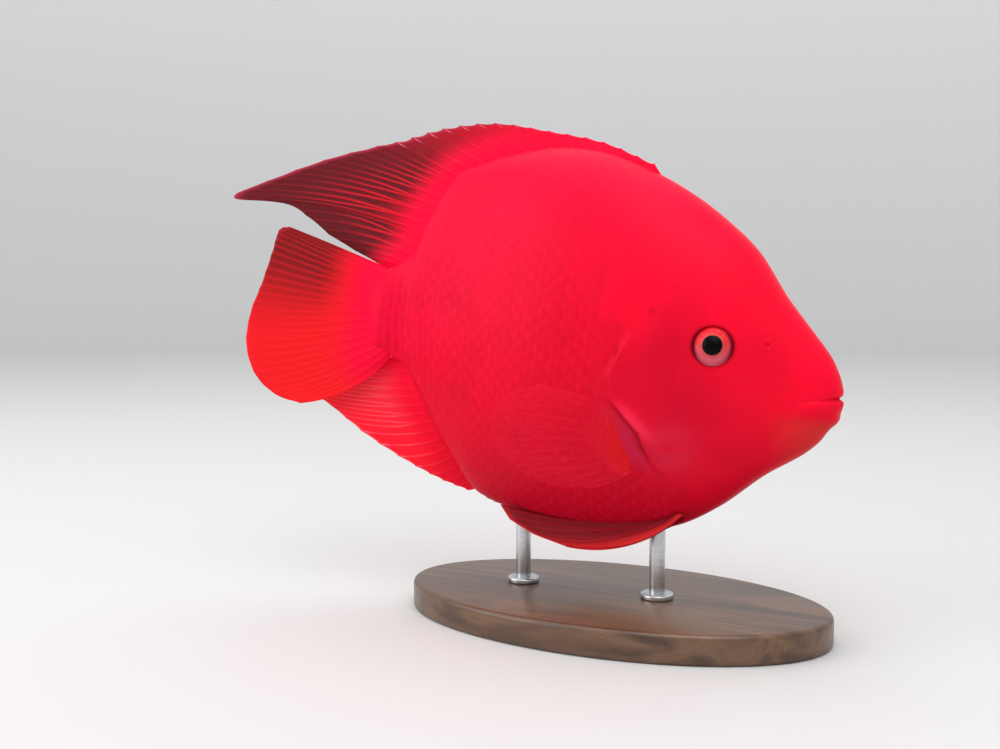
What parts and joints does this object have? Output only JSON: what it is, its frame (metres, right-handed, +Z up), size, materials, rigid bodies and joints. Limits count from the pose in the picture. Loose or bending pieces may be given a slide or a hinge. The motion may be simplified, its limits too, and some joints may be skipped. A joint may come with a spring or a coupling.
{
  "type": "blood parrot cichlid display model",
  "caption": "Still, life-size blood parrot cichlid, bright red and deep-bodied, tail swung to its right, held by a flat base and two short rods.",
  "frame": {"origin": "centre of the underside of the stand's base", "axes": "+X towards the fish's head, +Y to the fish's left, +Z up"},
  "size_m": [0.1817, 0.072, 0.1423],
  "materials": {
    "skin": "wet sheen over small scales",
    "fin": "thin translucent membrane with raised rays",
    "eye": "polished, with a black pupil",
    "stand_wood": "satin dark walnut",
    "stand_steel": "brushed"
  },
  "bodies": {
    "root": {"head": "skin", "lower_jaw": "skin", "gill_cover_right": "skin", "gill_cover_left": "skin", "torso": "skin", "tail": "skin", "eye_right": "eye", "eye_left": "eye", "dorsal_fin": "fin", "anal_fin": "fin", "caudal_fin": "fin", "pectoral_fin_right": "fin", "pectoral_fin_left": "fin", "pelvic_fin_right": "fin", "pelvic_fin_left": "fin", "stand_base": "stand_wood", "stand_rod_front": "stand_steel", "stand_rod_rear": "stand_steel"}
  },
  "joints": []
}
